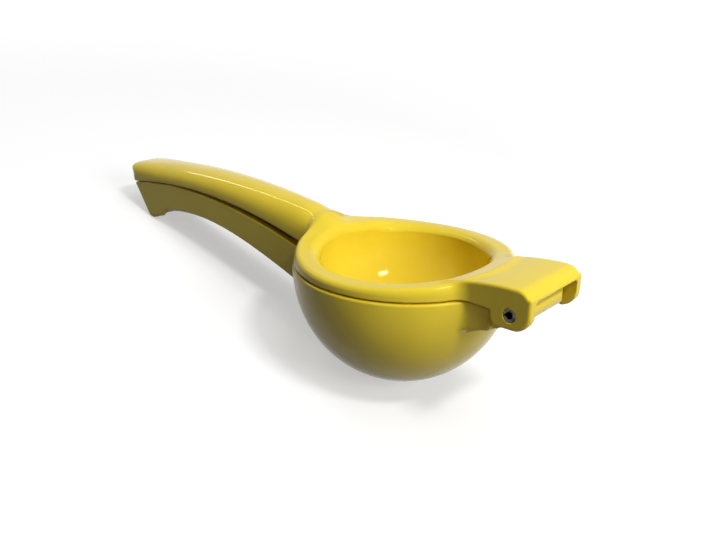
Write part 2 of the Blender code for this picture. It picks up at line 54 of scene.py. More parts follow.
# Cup
CUP_RADIUS = 37.9
CUP_DEPTH = 40.3
CUP_FULLNESS = 2.02
CUP_TOP = -0.6
CUP_RIM_ROUND = 0.7
CUP_SPRING_DROP = 0.5
CUP_WALL = 3.6
CUP_INNER_ROUND = 0.8
DRAIN_HOLE_RADIUS = 2.0
DRAIN_RING_PITCH = 7.2
DRAIN_RINGS = 2
DRAIN_RING_SPACES = 6
DRAIN_EDGE_ROUND = 0.45

# Plunger, dish and flange
PLUNGER_RADIUS = 32.1
PLUNGER_DEPTH = 28.7
PLUNGER_ROOT_ROUND = 0.8
DISH_RADIUS = 28.5
DISH_DEPTH = 25.95
DISH_SPRING = 1.1
DISH_LIP_ROUND = 3.8
FLANGE_RADIUS = 37.4
FLANGE_UNDER = -0.1
FLANGE_SHOULDER = 1.3
FLANGE_TOP = 3.25
FLANGE_CROWN_START = 35.3
FLANGE_FULLNESS = 2.1
FLANGE_EDGE_ROUND = 0.4
HINGE_RISE = 2.5
NECK_RISE = 4.0

# Both handles
HANDLE_END_X = -148.9
HANDLE_NECK_X = -38.2
HANDLE_HALF_WIDTH_END = 10.5
HANDLE_HALF_WIDTH_NECK = 9.4
HANDLE_WALL = 3.0
CHANNEL_END_X = -47.7
CHANNEL_ROUND = 1.2
FLOOR_STEP_X = -40.5
PARTING_APEX_X = -105.0
PARTING_APEX_Z = 7.9
PARTING_BEND_RADIUS = 240.0

# Upper handle
CROWN_APEX_X = -98.0
CROWN_APEX_Z = 15.4
CROWN_BEND_RADIUS = 400.0
CROWN_FULLNESS = 2.3
CROWN_LEAST_RISE = 0.5
NECK_DROP_X = -46.0
NECK_DROP_BEND_RADIUS = 42.0
NECK_PLAN_FILLET = 3.0
NECK_TOP_FILLET = 16.0
UPPER_CORNER_ROUND = 6.5
UPPER_CORNER_POWER = 4
UPPER_END_ROUND = 2.2
UPPER_EDGE_ROUND = 0.8
UPPER_END_FULLNESS = 3.8
UPPER_END_LENGTH = 22.0
UPPER_END_EDGE_ROUND = 2.2
UPPER_END_EDGE_LENGTH = 4.0

# Lower handle
LOWER_END_X = -144.8
LOWER_GAP = 0.3
LOWER_INSET = 0.3
LOWER_GAP_SLOPE = 0.033
LOWER_GAP_X = -118.0
UNDERSIDE_APEX_X = -104.0
UNDERSIDE_APEX_Z = -3.0
UNDERSIDE_SLOPE = 0.435
UNDERSIDE_BEND = 42.0
LOWER_EDGE_ROUND = 1.2
LOWER_TOP_ROUND = 0.35
LOWER_CHANNEL_X = -135.0
CUP_HANDLE_FILLET = 4.0
HEEL_PAD_X = -134.3
HEEL_DROP = 5.10
HEEL_PAD_LENGTH = 2.6
HEEL_TOE_X = -126.8
HEEL_TOE_RISE = 1.7
HEEL_BACK_X = -122.0
HEEL_HOLLOW = 8.0
HEEL_HOLLOW_HALF_WIDTH = 8.5
HEEL_CORNER_ROUND = 1.6

# Hinge
PIN_X = 50.7
PIN_Z = -0.4
HINGE_HALF_WIDTH = 15.5
HINGE_EDGE_ROUND = 0.9
PLATE_TOP = 8.2
PLATE_START_X = 12.0
PLATE_BEND_RADIUS = 78.0
PLATE_END_ROUND = 5.0
PLATE_PLAN_FILLET = 5.0
PLATE_TOP_FILLET = 5.0
PLATE_THICKNESS = 3.7
EAR_TIP_X = 57.58
EAR_TIP_ROUND = 5.8
EAR_BOTTOM = -5.0
EAR_INNER_RADIUS = 6.6
EAR_INNER_Y = 12.5
EAR_INNER_EDGE_ROUND = 0.4
SLOT_ROUND = 0.9
LUG_FACE_X = 43.7
LUG_TOP = -0.8
LUG_BOTTOM = -7.9
LUG_SLOPE = 0.25
LUG_EDGE_ROUND = 0.6
LUG_HALF_WIDTH = 14.4
CUP_LUG_FILLET = 3.5
BARREL_RADIUS = 4.1
TONGUE_HALF_WIDTH = 12.1
TONGUE_ROOT_DEPTH = 10.0
TONGUE_CORNER_ROUND = 4.0
TONGUE_ROOT_FILLET = 0.6
BORE_RADIUS = 2.5
EAR_BORE_RADIUS = 2.1
BORE_EDGE_ROUND = 0.15

# Pin. It is wider than the CAD's and overlaps the ears' bores by 0.2 mm, in place of a press fit.
PIN_RADIUS = 2.3
PIN_INNER_RADIUS = 1.1
PIN_HALF_LENGTH = 15.25
PIN_HALF_SLIT = 0.4
PIN_CHAMFER = 0.35
PIN_ARC_STEPS = 48
PIN_SOFT_SHARE = 0.3
PIN_SOFT_END = 1.2
PIN_INNER_CHAMFER_SHARE = 0.3
PIN_SHARP_ANGLE = math.radians(40.0)

# Fields and their meshes
STEP = 1e-4
LEAST_SLOPE = 0.02
OPPOSED = -0.3
ALIKE = 0.985
BLOCK = 4
BLOCK_REACH = 0.8
FINE_PLACES = 6000
RELAX_ROUNDS = 4
RETURN_ROUNDS = 2

# Grids: for x, half of y, and z, the places along the axis and the pace of the lines at each
PRESS_GRID = (
    ((-151.0, -60.0, -40.0, 30.0, 40.0, 59.5), (0.85, 0.75, 0.65, 0.65, 0.5, 0.5)),
    ((0.3, 10.0, 17.0, 39.5), (0.6, 0.55, 0.6, 0.7)),
    ((-30.5, -6.0, 0.0, 9.0, 18.0), (0.75, 0.7, 0.45, 0.5, 0.7)),
)
CUP_GRID = (
    ((-148.0, -60.0, -40.0, 30.0, 40.0, 57.0), (0.9, 0.8, 0.7, 0.7, 0.52, 0.52)),
    ((0.3, 10.0, 17.0, 40.0), (0.64, 0.58, 0.64, 0.75)),
    ((-43.5, -6.0, 0.0, 9.0), (0.75, 0.68, 0.46, 0.6)),
)

# Rim frame to the world: the closed press lies tilted on its cup and heel
TILT = math.radians(13.78956)
RIM_TO_WORLD = Matrix((
    (math.cos(TILT), 0.0, -math.sin(TILT), 0.04573154),
    (0.0, 1.0, 0.0, 0.0),
    (math.sin(TILT), 0.0, math.cos(TILT), 0.04146612),
    (0.0, 0.0, 0.0, 1.0),
))


# Fields. A field is an array of four rows over the points: the distance to a surface, negative
# inside, and the three parts of the outward direction.

def field(gauge, at):
    """Field of a gauge, a formula in x, y and z that is zero on a surface and negative inside.

    The distance is the gauge over the length of its slope; the direction is the slope's own.
    """
    x, y, z = at
    here = gauge(x, y, z)
    slope = np.stack([gauge(x + STEP, y, z), gauge(x, y + STEP, z), gauge(x, y, z + STEP)])
    slope = (slope - here) / STEP
    size = np.maximum(np.sqrt((slope ** 2).sum(axis=0)), LEAST_SLOPE)
    return np.concatenate([(here / size)[None], slope / size])


def join(a, b, radius=0.0):
    """Union of two fields with a hollow circular fillet that touches both surfaces.

    With the two outward directions p and q, the way from the fillet's axis back to a point is
    s p + t q. Where s and t are both positive the fillet is the nearest surface, at the radius
    less the length of that way; elsewhere it is the nearer of the two. The cosine between p and q
    is held at OPPOSED, so that the two faces of a thin wall don't round each other away.
    """
    cosine = np.clip((a[1:] * b[1:]).sum(axis=0), OPPOSED, ALIKE)
    short_a, short_b = radius - a[0], radius - b[0]
    spread = 1.0 - cosine ** 2
    s = (short_a - cosine * short_b) / spread
    t = (short_b - cosine * short_a) / spread
    length = np.sqrt(s * s + t * t + 2.0 * cosine * s * t)
    way = s * a[1:] + t * b[1:]
    way = way / np.maximum(np.sqrt((way ** 2).sum(axis=0)), LEAST_SLOPE)
    fillet = np.concatenate([(radius - length)[None], way])
    nearer = np.where(a[0] < b[0], a, b)
    return np.where((s > 0.0) & (t > 0.0) & (fillet[0] < nearer[0]), fillet, nearer)


def meet(a, b, radius=0.0):
    """Common part of two fields, with the edge between them rounded to the radius."""
    return -join(-a, -b, radius)


def cut(a, b, radius=0.0):
    """First field less the second, with the edge between them rounded to the radius."""
    return -join(-a, b, radius)


def gauge_sum(a, b, fullness):
    """Superellipse sum: both parts to the power of the fullness, added, and the root taken."""
    return (a ** fullness + b ** fullness) ** (1.0 / fullness)


def positive(value):
    """The value where it is above zero."""
    return np.maximum(value, 0.0)


# Lines that the handles follow

def parting_arch(x):
    """Parabola that the closed handles meet along."""
    return PARTING_APEX_Z - (x - PARTING_APEX_X) ** 2 / (2.0 * PARTING_BEND_RADIUS)


def upper_floor(x):
    """Underside of the upper handle: the parting arch, and from the neck on the flange's underside."""
    return np.where(x < FLOOR_STEP_X, parting_arch(x), FLANGE_UNDER)


def crown_line(x):
    """Ridge of the upper handle: a parabola, with a second one that bends it down at the neck."""
    arch = CROWN_APEX_Z - (x - CROWN_APEX_X) ** 2 / (2.0 * CROWN_BEND_RADIUS)
    return arch - positive(x - NECK_DROP_X) ** 2 / (2.0 * NECK_DROP_BEND_RADIUS)


def half_width(x):
    """Half the handles' width, falling evenly from the end to the neck."""
    share = (x - HANDLE_END_X) / (HANDLE_NECK_X - HANDLE_END_X)
    return HANDLE_HALF_WIDTH_END + (HANDLE_HALF_WIDTH_NECK - HANDLE_HALF_WIDTH_END) * share


def lower_top_line(x):
    """Top edge of the lower handle: the parting arch less a gap that widens towards the cup."""
    return parting_arch(x) - LOWER_GAP - LOWER_GAP_SLOPE * positive(x - LOWER_GAP_X)


def underside_line(x):
    """Underside of the lower handle: one branch of a hyperbola, level at its top."""
    offset = x - UNDERSIDE_APEX_X
    return UNDERSIDE_APEX_Z - UNDERSIDE_SLOPE * (np.hypot(UNDERSIDE_BEND, offset) - UNDERSIDE_BEND)


def flange_rise(x):
    """Saddle of the flange's top: a square towards the hinge and a cube towards the handle."""
    share = x / FLANGE_RADIUS
    return HINGE_RISE * positive(share) ** 2 + NECK_RISE * positive(-share) ** 3


# Press arm

def flange(x, y, z):
    """Round plate whose top is the saddle, falling to the shoulder along a superellipse."""
    out = positive(np.hypot(x, y) - FLANGE_CROWN_START) / (FLANGE_RADIUS - FLANGE_CROWN_START)
    up = positive(z - FLANGE_SHOULDER) / (FLANGE_TOP - FLANGE_SHOULDER + flange_rise(x))
    return gauge_sum(out, up, FLANGE_FULLNESS) - 1.0


def d_section(inset, spring):
    """Gauge of the upper handle's section: half a superellipse on upright sides, fuller at the end."""
    def gauge(x, y, z):
        fullness = np.interp(x, (HANDLE_END_X, HANDLE_END_X + UPPER_END_LENGTH),
                             (UPPER_END_FULLNESS, CROWN_FULLNESS))
        base = upper_floor(x) + spring
        rise = np.maximum(crown_line(x) - inset - base, CROWN_LEAST_RISE)
        side = np.abs(y) / (half_width(x) - inset)
        up = positive(z - base) / rise
        return gauge_sum(side, up, fullness) - 1.0
    return gauge


def upper_handle(at):
    """Upper handle without its underside: the D section up to its rounded end."""
    section = field(d_section(0.0, UPPER_EDGE_ROUND), at)
    beside = field(lambda x, y, z: np.abs(y) - half_width(x), at)
    section = meet(meet(section, beside), field(lambda x, y, z: x, at))
    end = field(lambda x, y, z: HANDLE_END_X - x, at)
    corner = UPPER_END_ROUND + (UPPER_CORNER_ROUND - UPPER_END_ROUND) * section[2] ** UPPER_CORNER_POWER
    return meet(section, end, corner)


def upper_channel(at):
    """Hollow in the upper handle's underside: the same D section, one wall further in."""
    section = field(d_section(HANDLE_WALL, 0.0), at)
    start = field(lambda x, y, z: HANDLE_END_X + HANDLE_WALL - x, at)
    stop = field(lambda x, y, z: x - CHANNEL_END_X, at)
    return meet(meet(section, start, CHANNEL_ROUND), stop, CHANNEL_ROUND)


def hinge_plate(at):
    """Hinge plate without its underside: a shallow arch, level over the hinge, with a round end."""
    def top(x, y, z):
        offset = np.minimum(x - (EAR_TIP_X - PLATE_END_ROUND), 0.0)
        return z - PLATE_TOP + offset ** 2 / (2.0 * PLATE_BEND_RADIUS)
    start = field(lambda x, y, z: PLATE_START_X - x, at)
    end = field(lambda x, y, z: x - EAR_TIP_X, at)
    side = field(lambda x, y, z: np.abs(y) - HINGE_HALF_WIDTH, at)
    outline = meet(meet(field(top, at), end, PLATE_END_ROUND), start)
    return meet(outline, side, HINGE_EDGE_ROUND)


def ears(at):
    """Both hinge ears as one block: a circle round the pin to the left and a round tip."""
    def inner(x, y, z):
        return np.hypot(np.minimum(x - PIN_X, 0.0), z - PIN_Z) - EAR_INNER_RADIUS
    bottom = field(lambda x, y, z: EAR_BOTTOM - z, at)
    end = field(lambda x, y, z: x - EAR_TIP_X, at)
    side = field(lambda x, y, z: np.abs(y) - HINGE_HALF_WIDTH, at)
    tip = meet(end, bottom, EAR_TIP_ROUND)
    edge = np.interp(at[0], (LUG_FACE_X, PIN_X), (EAR_INNER_EDGE_ROUND, HINGE_EDGE_ROUND))
    return meet(meet(field(inner, at), tip, HINGE_EDGE_ROUND), side, edge)


def ear_slot(at):
    """Space between the ears, under the plate."""
    start = field(lambda x, y, z: PIN_X - EAR_INNER_RADIUS - x, at)
    roof = field(lambda x, y, z: z - PLATE_TOP + PLATE_THICKNESS, at)
    side = field(lambda x, y, z: np.abs(y) - EAR_INNER_Y, at)
    return meet(meet(roof, side, SLOT_ROUND), start, SLOT_ROUND)


def pin_bore(at, radius):
    """Round hole across the hinge."""
    return field(lambda x, y, z: np.hypot(x - PIN_X, z - PIN_Z) - radius, at)


def press_arm(at):
    """The upper casting as one field.

    The flange joined to the handle and the hinge plate, less the dish, and kept above the underside,
    which is joined to the plunger; then the ears, less the channel, the slot and the bore.
    """
    disc = field(flange, at)
    upright = 1.0 - disc[3] ** 2
    neck_fillet = NECK_TOP_FILLET + (NECK_PLAN_FILLET - NECK_TOP_FILLET) * upright
    plate_fillet = PLATE_TOP_FILLET + (PLATE_PLAN_FILLET - PLATE_TOP_FILLET) * upright
    arm = join(disc, upper_handle(at), neck_fillet)
    arm = join(arm, hinge_plate(at), plate_fillet)
    under = field(lambda x, y, z: upper_floor(x) - z, at)
    plunger = field(lambda x, y, z: np.hypot(np.hypot(x, y) / PLUNGER_RADIUS,
                    np.minimum(z - FLANGE_UNDER, 0.0) / PLUNGER_DEPTH) - 1.0, at)
    under = join(under, plunger, PLUNGER_ROOT_ROUND)
    dish = field(lambda x, y, z: np.hypot(np.hypot(x, y) / DISH_RADIUS,
                 np.minimum(z - DISH_SPRING, 0.0) / DISH_DEPTH) - 1.0, at)
    arm = cut(arm, dish, DISH_LIP_ROUND)
    edge = np.interp(at[0], (HANDLE_END_X, HANDLE_END_X + UPPER_END_EDGE_LENGTH),
                     (UPPER_END_EDGE_ROUND, UPPER_EDGE_ROUND))
    arm = meet(arm, under, np.where(at[0] < HANDLE_NECK_X, edge, FLANGE_EDGE_ROUND))
    arm = join(arm, ears(at))
    arm = cut(arm, upper_channel(at), FLANGE_EDGE_ROUND)
    arm = cut(arm, ear_slot(at), BORE_EDGE_ROUND)
    return cut(arm, pin_bore(at, EAR_BORE_RADIUS), BORE_EDGE_ROUND)


# Strainer cup

def bowl(radius, depth, equator):
    """Gauge of a bowl: upright above its equator and a superellipse of revolution below it."""
    def gauge(x, y, z):
        out = np.hypot(x, y) / radius
        return gauge_sum(out, positive(equator - z) / depth, CUP_FULLNESS) - 1.0
    return gauge


def plane_through(x0, z0, x1, z1, at):
    """Field of a plane across the press through two places of its side view, solid on the left."""
    return field(lambda x, y, z: (x - x0) * (z1 - z0) - (z - z0) * (x1 - x0), at)


def lower_handle(at):
    """Lower handle: upright sides between its top edge and its underside, with a heel at the end.

    The heel's toe is a cubic step; it starts further back in the middle, along a parabola.
    """
    back_z = float(underside_line(HEEL_BACK_X))
    pad_z = back_z - HEEL_DROP
    toe_z = pad_z + HEEL_TOE_RISE
    reach_x = 0.5 * HEEL_PAD_LENGTH * math.cos(TILT)
    reach_z = 0.5 * HEEL_PAD_LENGTH * math.sin(TILT)
    end_z = float(lower_top_line(LOWER_END_X))

    def underside(x, y, z):
        along = x + HEEL_HOLLOW * positive(1.0 - (y / HEEL_HOLLOW_HALF_WIDTH) ** 2)
        share = np.clip((along - HEEL_TOE_X) / (HEEL_BACK_X - HEEL_TOE_X), 0.0, 1.0)
        climb = share * share * (3.0 - 2.0 * share)
        line = np.where(x < HEEL_BACK_X, back_z, underside_line(x))
        foot = toe_z + np.minimum(x - HEEL_TOE_X, 0.0) * (toe_z - pad_z + reach_z) \
            / (HEEL_TOE_X - HEEL_PAD_X - reach_x)
        return foot + (line - foot) * climb - z

    slant = plane_through(LOWER_END_X, end_z, HEEL_PAD_X - reach_x, pad_z + reach_z, at)
    pad = plane_through(HEEL_PAD_X - reach_x, pad_z + reach_z, HEEL_PAD_X + reach_x, pad_z - reach_z, at)
    foot = meet(meet(field(underside, at), pad, HEEL_CORNER_ROUND), slant, HEEL_CORNER_ROUND)
    side = field(lambda x, y, z: np.abs(y) - half_width(x) + LOWER_INSET, at)
    top = field(lambda x, y, z: z - lower_top_line(x), at)
    root = field(lambda x, y, z: x + DISH_RADIUS, at)
    return meet(meet(meet(foot, side, LOWER_EDGE_ROUND), top, LOWER_TOP_ROUND), root)


def lower_channel(at):
    """Hollow in the lower handle's top: upright sides over a floor one wall above the underside.

    It starts far enough in to leave about a wall's thickness behind the slanted end.
    """
    floor = field(lambda x, y, z: underside_line(x) + HANDLE_WALL - z, at)
    side = field(lambda x, y, z: np.abs(y) - HANDLE_HALF_WIDTH_NECK + HANDLE_WALL, at)
    start = field(lambda x, y, z: LOWER_CHANNEL_X - x, at)
    stop = field(lambda x, y, z: x - CHANNEL_END_X, at)
    walls = meet(meet(side, start, CHANNEL_ROUND), stop, CHANNEL_ROUND)
    return meet(walls, floor, CHANNEL_ROUND)


def hinge_lug(at):
    """Wide lug on the cup, cut by a plane that falls towards the cup."""
    face = field(lambda x, y, z: x - LUG_FACE_X, at)
    start = field(lambda x, y, z: DISH_RADIUS - x, at)
    under = field(lambda x, y, z: LUG_BOTTOM - LUG_SLOPE * (LUG_FACE_X - x) - z, at)
    side = field(lambda x, y, z: np.abs(y) - LUG_HALF_WIDTH, at)
    block = meet(meet(face, under, LUG_EDGE_ROUND), start)
    return meet(block, side, LUG_EDGE_ROUND)


def touch_place(z, side):
    """Where a line from the lug's face at z touches the barrel, above (1) or below (-1)."""
    offset_x, offset_z = LUG_FACE_X - PIN_X, z - PIN_Z
    towards = math.atan2(offset_z, offset_x)
    angle = towards - side * math.acos(BARREL_RADIUS / math.hypot(offset_x, offset_z))
    return PIN_X + BARREL_RADIUS * math.cos(angle), PIN_Z + BARREL_RADIUS * math.sin(angle)


def tongue(at):
    """Hinge tongue: straight faces that touch the round barrel, with rounded corners in plan."""
    high_x, high_z = touch_place(LUG_TOP, 1.0)
    low_x, low_z = touch_place(LUG_BOTTOM, -1.0)
    upper = plane_through(high_x, high_z, LUG_FACE_X, LUG_TOP, at)
    lower = plane_through(LUG_FACE_X, LUG_BOTTOM, low_x, low_z, at)
    chord = plane_through(low_x, low_z, high_x, high_z, at)
    back = field(lambda x, y, z: LUG_FACE_X - TONGUE_ROOT_DEPTH - x, at)
    barrel = field(lambda x, y, z: np.hypot(x - PIN_X, z - PIN_Z) - BARREL_RADIUS, at)
    wedge = meet(meet(meet(upper, lower), chord), back)
    side = field(lambda x, y, z: np.abs(y) - TONGUE_HALF_WIDTH, at)
    tip = field(lambda x, y, z: x - PIN_X - BARREL_RADIUS, at)
    plan = meet(side, tip, TONGUE_CORNER_ROUND)
    return meet(join(wedge, barrel), plan, BORE_EDGE_ROUND)


def drain_holes(at):
    """Upright round holes: one in the middle and two rings, each point folded to its nearest hole."""
    def gauge(x, y, z):
        out = np.hypot(x, y)
        angle = np.arctan2(y, x)
        nearest = out
        for ring in range(1, DRAIN_RINGS + 1):
            pace = math.tau / (DRAIN_RING_SPACES * ring)
            turn = angle - pace * np.round(angle / pace)
            away = np.hypot(out * np.cos(turn) - DRAIN_RING_PITCH * ring, out * np.sin(turn))
            nearest = np.minimum(nearest, away)
        return nearest - DRAIN_HOLE_RADIUS
    roof = field(lambda x, y, z: z + 0.5 * CUP_DEPTH, at)
    return meet(field(gauge, at), roof)


def strainer_cup(at):
    """The lower casting as one field.

    The bowl joined to the lug, cut level at the rim, and joined to the handle and the tongue; less
    a smaller bowl, the handle's channel, the drain holes and the bore.
    """
    equator = CUP_TOP - CUP_RIM_ROUND
    cup = field(bowl(CUP_RADIUS, CUP_DEPTH, CUP_TOP - CUP_SPRING_DROP), at)
    cup = join(cup, hinge_lug(at), CUP_LUG_FILLET)
    top = field(lambda x, y, z: z - CUP_TOP, at)
    cup = meet(cup, top, CUP_RIM_ROUND)
    handle = lower_handle(at)
    cup = join(cup, handle, CUP_HANDLE_FILLET - (CUP_HANDLE_FILLET - LUG_EDGE_ROUND) * positive(handle[3]))
    cup = join(cup, tongue(at), TONGUE_ROOT_FILLET)
    depth = CUP_DEPTH - CUP_WALL + CUP_RIM_ROUND - CUP_SPRING_DROP
    cup = cut(cup, field(bowl(CUP_RADIUS - CUP_WALL, depth, equator), at), CUP_INNER_ROUND)
    cup = cut(cup, lower_channel(at), LOWER_TOP_ROUND)
    cup = cut(cup, drain_holes(at), DRAIN_EDGE_ROUND)
    return cut(cup, pin_bore(at, BORE_RADIUS), BORE_EDGE_ROUND)


# From a field to a mesh

def graded(places, paces):
    """Grid lines between the first and last place, at a pace that is read off between the places."""
    fine = np.linspace(places[0], places[-1], FINE_PLACES)
    density = 1.0 / np.interp(fine, places, paces)
    count = np.concatenate([[0.0], np.cumsum(0.5 * (density[1:] + density[:-1]) * np.diff(fine))])
    return np.interp(np.arange(math.ceil(count[-1]) + 1.0), count, fine)


def node_values(solid, lines):
    """Distances at the grid's nodes: worked out by the surface, and one value a block elsewhere."""
    middles = [np.minimum(np.arange(BLOCK // 2, len(line) + BLOCK, BLOCK), len(line) - 1)
               for line in lines]
    centres = np.meshgrid(*[line[middle] for line, middle in zip(lines, middles)], indexing="ij")
    shape = centres[0].shape
    coarse = solid([centre.ravel() for centre in centres])[0].reshape(shape)
    blocks = [np.arange(len(line)) // BLOCK for line in lines]
    values = coarse[np.ix_(*blocks)]
    widest = BLOCK_REACH * math.sqrt(sum((BLOCK * np.diff(line).max()) ** 2 for line in lines))
    near = np.nonzero(np.abs(values) < widest)
    values[near] = solid([line[index] for line, index in zip(lines, near)])[0]
    return values


def net(values, lines):
    """Closed mesh of the zero surface: one vertex in each crossed cell, one quad round each
    crossed grid edge. The vertex is the mean of its cell's crossings."""
    cells = [len(line) - 1 for line in lines]
    quads, crossings = [], []
    for axis in range(3):
        following, last = (axis + 1) % 3, (axis + 2) % 3
        low = np.take(values, np.arange(cells[axis]), axis=axis)
        high = np.take(values, np.arange(1, cells[axis] + 1), axis=axis)
        index = list(np.nonzero((low < 0.0) != (high < 0.0)))
        start, end = low[tuple(index)], high[tuple(index)]
        share = start / (start - end)
        place = [line[at] for line, at in zip(lines, index)]
        place[axis] = place[axis] + share * np.diff(lines[axis])[index[axis]]
        crossings.append(np.stack(place, axis=1))
        ring = []
        for back_one, back_two in ((1, 1), (0, 1), (0, 0), (1, 0)):
            cell = list(index)
            cell[following] = index[following] - back_one
            cell[last] = index[last] - back_two
            ring.append(np.ravel_multi_index(cell, cells))
        ring = np.stack(ring, axis=1)
        quads.append(np.where((start < 0.0)[:, None], ring, ring[:, ::-1]))
    quads, crossings = np.concatenate(quads), np.concatenate(crossings)
    corner = np.unique(quads, return_inverse=True)[1].reshape(-1)
    shares = np.bincount(corner).astype(float)
    places = [np.bincount(corner, weights=np.repeat(part, 4)) / shares for part in crossings.T]
    return np.stack(places, axis=1), corner.reshape(-1, 4)


def evened(points, quads, solid):
    """Move each vertex to the mean of its neighbours and back onto the surface, a few times."""
    first = quads.reshape(-1)
    second = np.roll(quads, -1, axis=1).reshape(-1)
    ends, others = np.concatenate([first, second]), np.concatenate([second, first])
    shares = np.bincount(ends).astype(float)[:, None]
    for _ in range(RELAX_ROUNDS):
        mean = np.stack([np.bincount(ends, weights=part[others]) for part in points.T], axis=1)
        points = 0.5 * points + 0.5 * mean / shares
        for _ in range(RETURN_ROUNDS):
            here = solid(list(points.T))
            points = points - here[0][:, None] * here[1:].T
    return points, solid(list(points.T))[1:].T


def casting(name, solid, grid):
    """Mesh object of a solid's zero surface, moved from the rim frame to its place on the table.

    The left half of the values is the right half mirrored. The shading directions are the
    field's own, so a highlight runs over a fillet as smoothly as over the real enamel.
    """
    x_lines, half_y, z_lines = [graded(places, paces) for places, paces in grid]
    y_lines = np.concatenate([-half_y[::-1], half_y])
    half = node_values(solid, [x_lines, half_y, z_lines])
    values = np.concatenate([half[:, ::-1], half], axis=1)
    points, quads = net(values, [x_lines, y_lines, z_lines])
    points, directions = evened(points, quads, solid)
    turn = np.array(RIM_TO_WORLD.to_3x3())
    points = points @ turn.T * MM + np.array(RIM_TO_WORLD.translation)
    mesh = mesh_object(name, points, quads)
    directions = directions @ turn.T
    directions /= np.linalg.norm(directions, axis=1, keepdims=True)
    mesh.data.normals_split_custom_set_from_vertices(directions.tolist())
    return mesh


def mesh_object(name, points, faces):
    """Smooth-shaded object of points and faces, at the origin."""
    mesh = bpy.data.meshes.new(name)
    mesh.from_pydata(points.tolist(), [], faces.tolist())
    mesh.validate()
    mesh.shade_smooth()
    thing = bpy.data.objects.new(name, mesh)
    bpy.context.scene.collection.objects.link(thing)
    return thing


def spring_pin():
    """Slotted pin: a C-shaped ring of two arcs, carried along the hinge's axis, chamfered."""
    outer_gap = math.asin(PIN_HALF_SLIT / PIN_RADIUS)
    inner_gap = math.asin(PIN_HALF_SLIT / PIN_INNER_RADIUS)
    outer = math.pi + np.linspace(outer_gap, math.tau - outer_gap, PIN_ARC_STEPS)
    inner = math.pi + np.linspace(math.tau - inner_gap, inner_gap, PIN_ARC_STEPS)
    straight = PIN_HALF_LENGTH - PIN_CHAMFER
    soft = PIN_SOFT_SHARE * PIN_CHAMFER
    half = [(straight, 0.0), (straight + soft, PIN_SOFT_SHARE * soft),
            (PIN_HALF_LENGTH - soft, PIN_CHAMFER - PIN_SOFT_END * soft), (PIN_HALF_LENGTH, PIN_CHAMFER)]
    stations = [(-y, inset) for y, inset in reversed(half)] + half
    rings = []
    for y, inset in stations:
        radius = np.concatenate([np.full(PIN_ARC_STEPS, PIN_RADIUS - inset),
                                 np.full(PIN_ARC_STEPS, PIN_INNER_RADIUS + PIN_INNER_CHAMFER_SHARE * inset)])
        angle = np.concatenate([outer, inner])
        rings.append(np.stack([PIN_X + radius * np.cos(angle), np.full(2 * PIN_ARC_STEPS, y),
                               PIN_Z + radius * np.sin(angle)], axis=1))
    points = np.concatenate(rings)
    count = 2 * PIN_ARC_STEPS
    along, around = np.meshgrid(np.arange(len(stations) - 1), np.arange(count), indexing="ij")
    this, following = along * count + around, along * count + (around + 1) % count
    sides = np.stack([this, this + count, following + count, following], axis=-1).reshape(-1, 4)
    arc_steps = np.arange(PIN_ARC_STEPS - 1)
    cap = np.stack([arc_steps, count - 1 - arc_steps, count - 2 - arc_steps, arc_steps + 1], axis=1)
    faces = np.concatenate([sides, cap[:, ::-1], cap + (len(stations) - 1) * count])
    turn = np.array(RIM_TO_WORLD.to_3x3())
    pin = mesh_object("spring_pin", points @ turn.T * MM + np.array(RIM_TO_WORLD.translation), faces)
    pin.data.set_sharp_from_angle(angle=PIN_SHARP_ANGLE)
    return pin


# Finishes

WAVE_DETAIL = 1.0
PATCH_DETAIL = 3.0
PATCH_ROUGHNESS = 0.55
NOISE_MIDDLE = 0.5


def coat_surface():
    """Node group for a baked or rolled surface, from two noises over Object coordinates.

    Wave is the fine one, the small waves of orange peel or of drawn wire, for a Bump's height.
    Patch is the slow one, where the coat is thicker or thinner, from 0 to 1.
    """
    group = bpy.data.node_groups.new("coat_surface", "ShaderNodeTree")
    face = group.interface
    face.new_socket("Stretch", in_out="INPUT", socket_type="NodeSocketVector")
    for name in ("Wave Scale", "Patch Scale", "Patch Contrast"):
        face.new_socket(name, in_out="INPUT", socket_type="NodeSocketFloat")
    for name in ("Wave", "Patch"):
        face.new_socket(name, in_out="OUTPUT", socket_type="NodeSocketFloat")
    entry = group.nodes.new("NodeGroupInput")
    leave = group.nodes.new("NodeGroupOutput")
    place = group.nodes.new("ShaderNodeTexCoord")
    stretched = group.nodes.new("ShaderNodeVectorMath")
    stretched.operation = "MULTIPLY"
    wave = group.nodes.new("ShaderNodeTexNoise")
    wave.inputs["Detail"].default_value = WAVE_DETAIL
    patch = group.nodes.new("ShaderNodeTexNoise")
    patch.inputs["Detail"].default_value = PATCH_DETAIL
    patch.inputs["Roughness"].default_value = PATCH_ROUGHNESS
    centred = group.nodes.new("ShaderNodeMath")
    centred.operation = "SUBTRACT"
    centred.inputs[1].default_value = NOISE_MIDDLE
    spread = group.nodes.new("ShaderNodeMath")
    spread.operation = "MULTIPLY_ADD"
    spread.use_clamp = True
    spread.inputs[2].default_value = NOISE_MIDDLE
    link = group.links.new
    link(place.outputs["Object"], stretched.inputs[0])
    link(entry.outputs["Stretch"], stretched.inputs[1])
    link(stretched.outputs["Vector"], wave.inputs["Vector"])
    link(stretched.outputs["Vector"], patch.inputs["Vector"])
    link(entry.outputs["Wave Scale"], wave.inputs["Scale"])
    link(entry.outputs["Patch Scale"], patch.inputs["Scale"])
    link(patch.outputs["Fac"], centred.inputs[0])
    link(centred.outputs["Value"], spread.inputs[0])
    link(entry.outputs["Patch Contrast"], spread.inputs[1])
    link(wave.outputs["Fac"], leave.inputs["Wave"])
    link(spread.outputs["Value"], leave.inputs["Patch"])
    return group


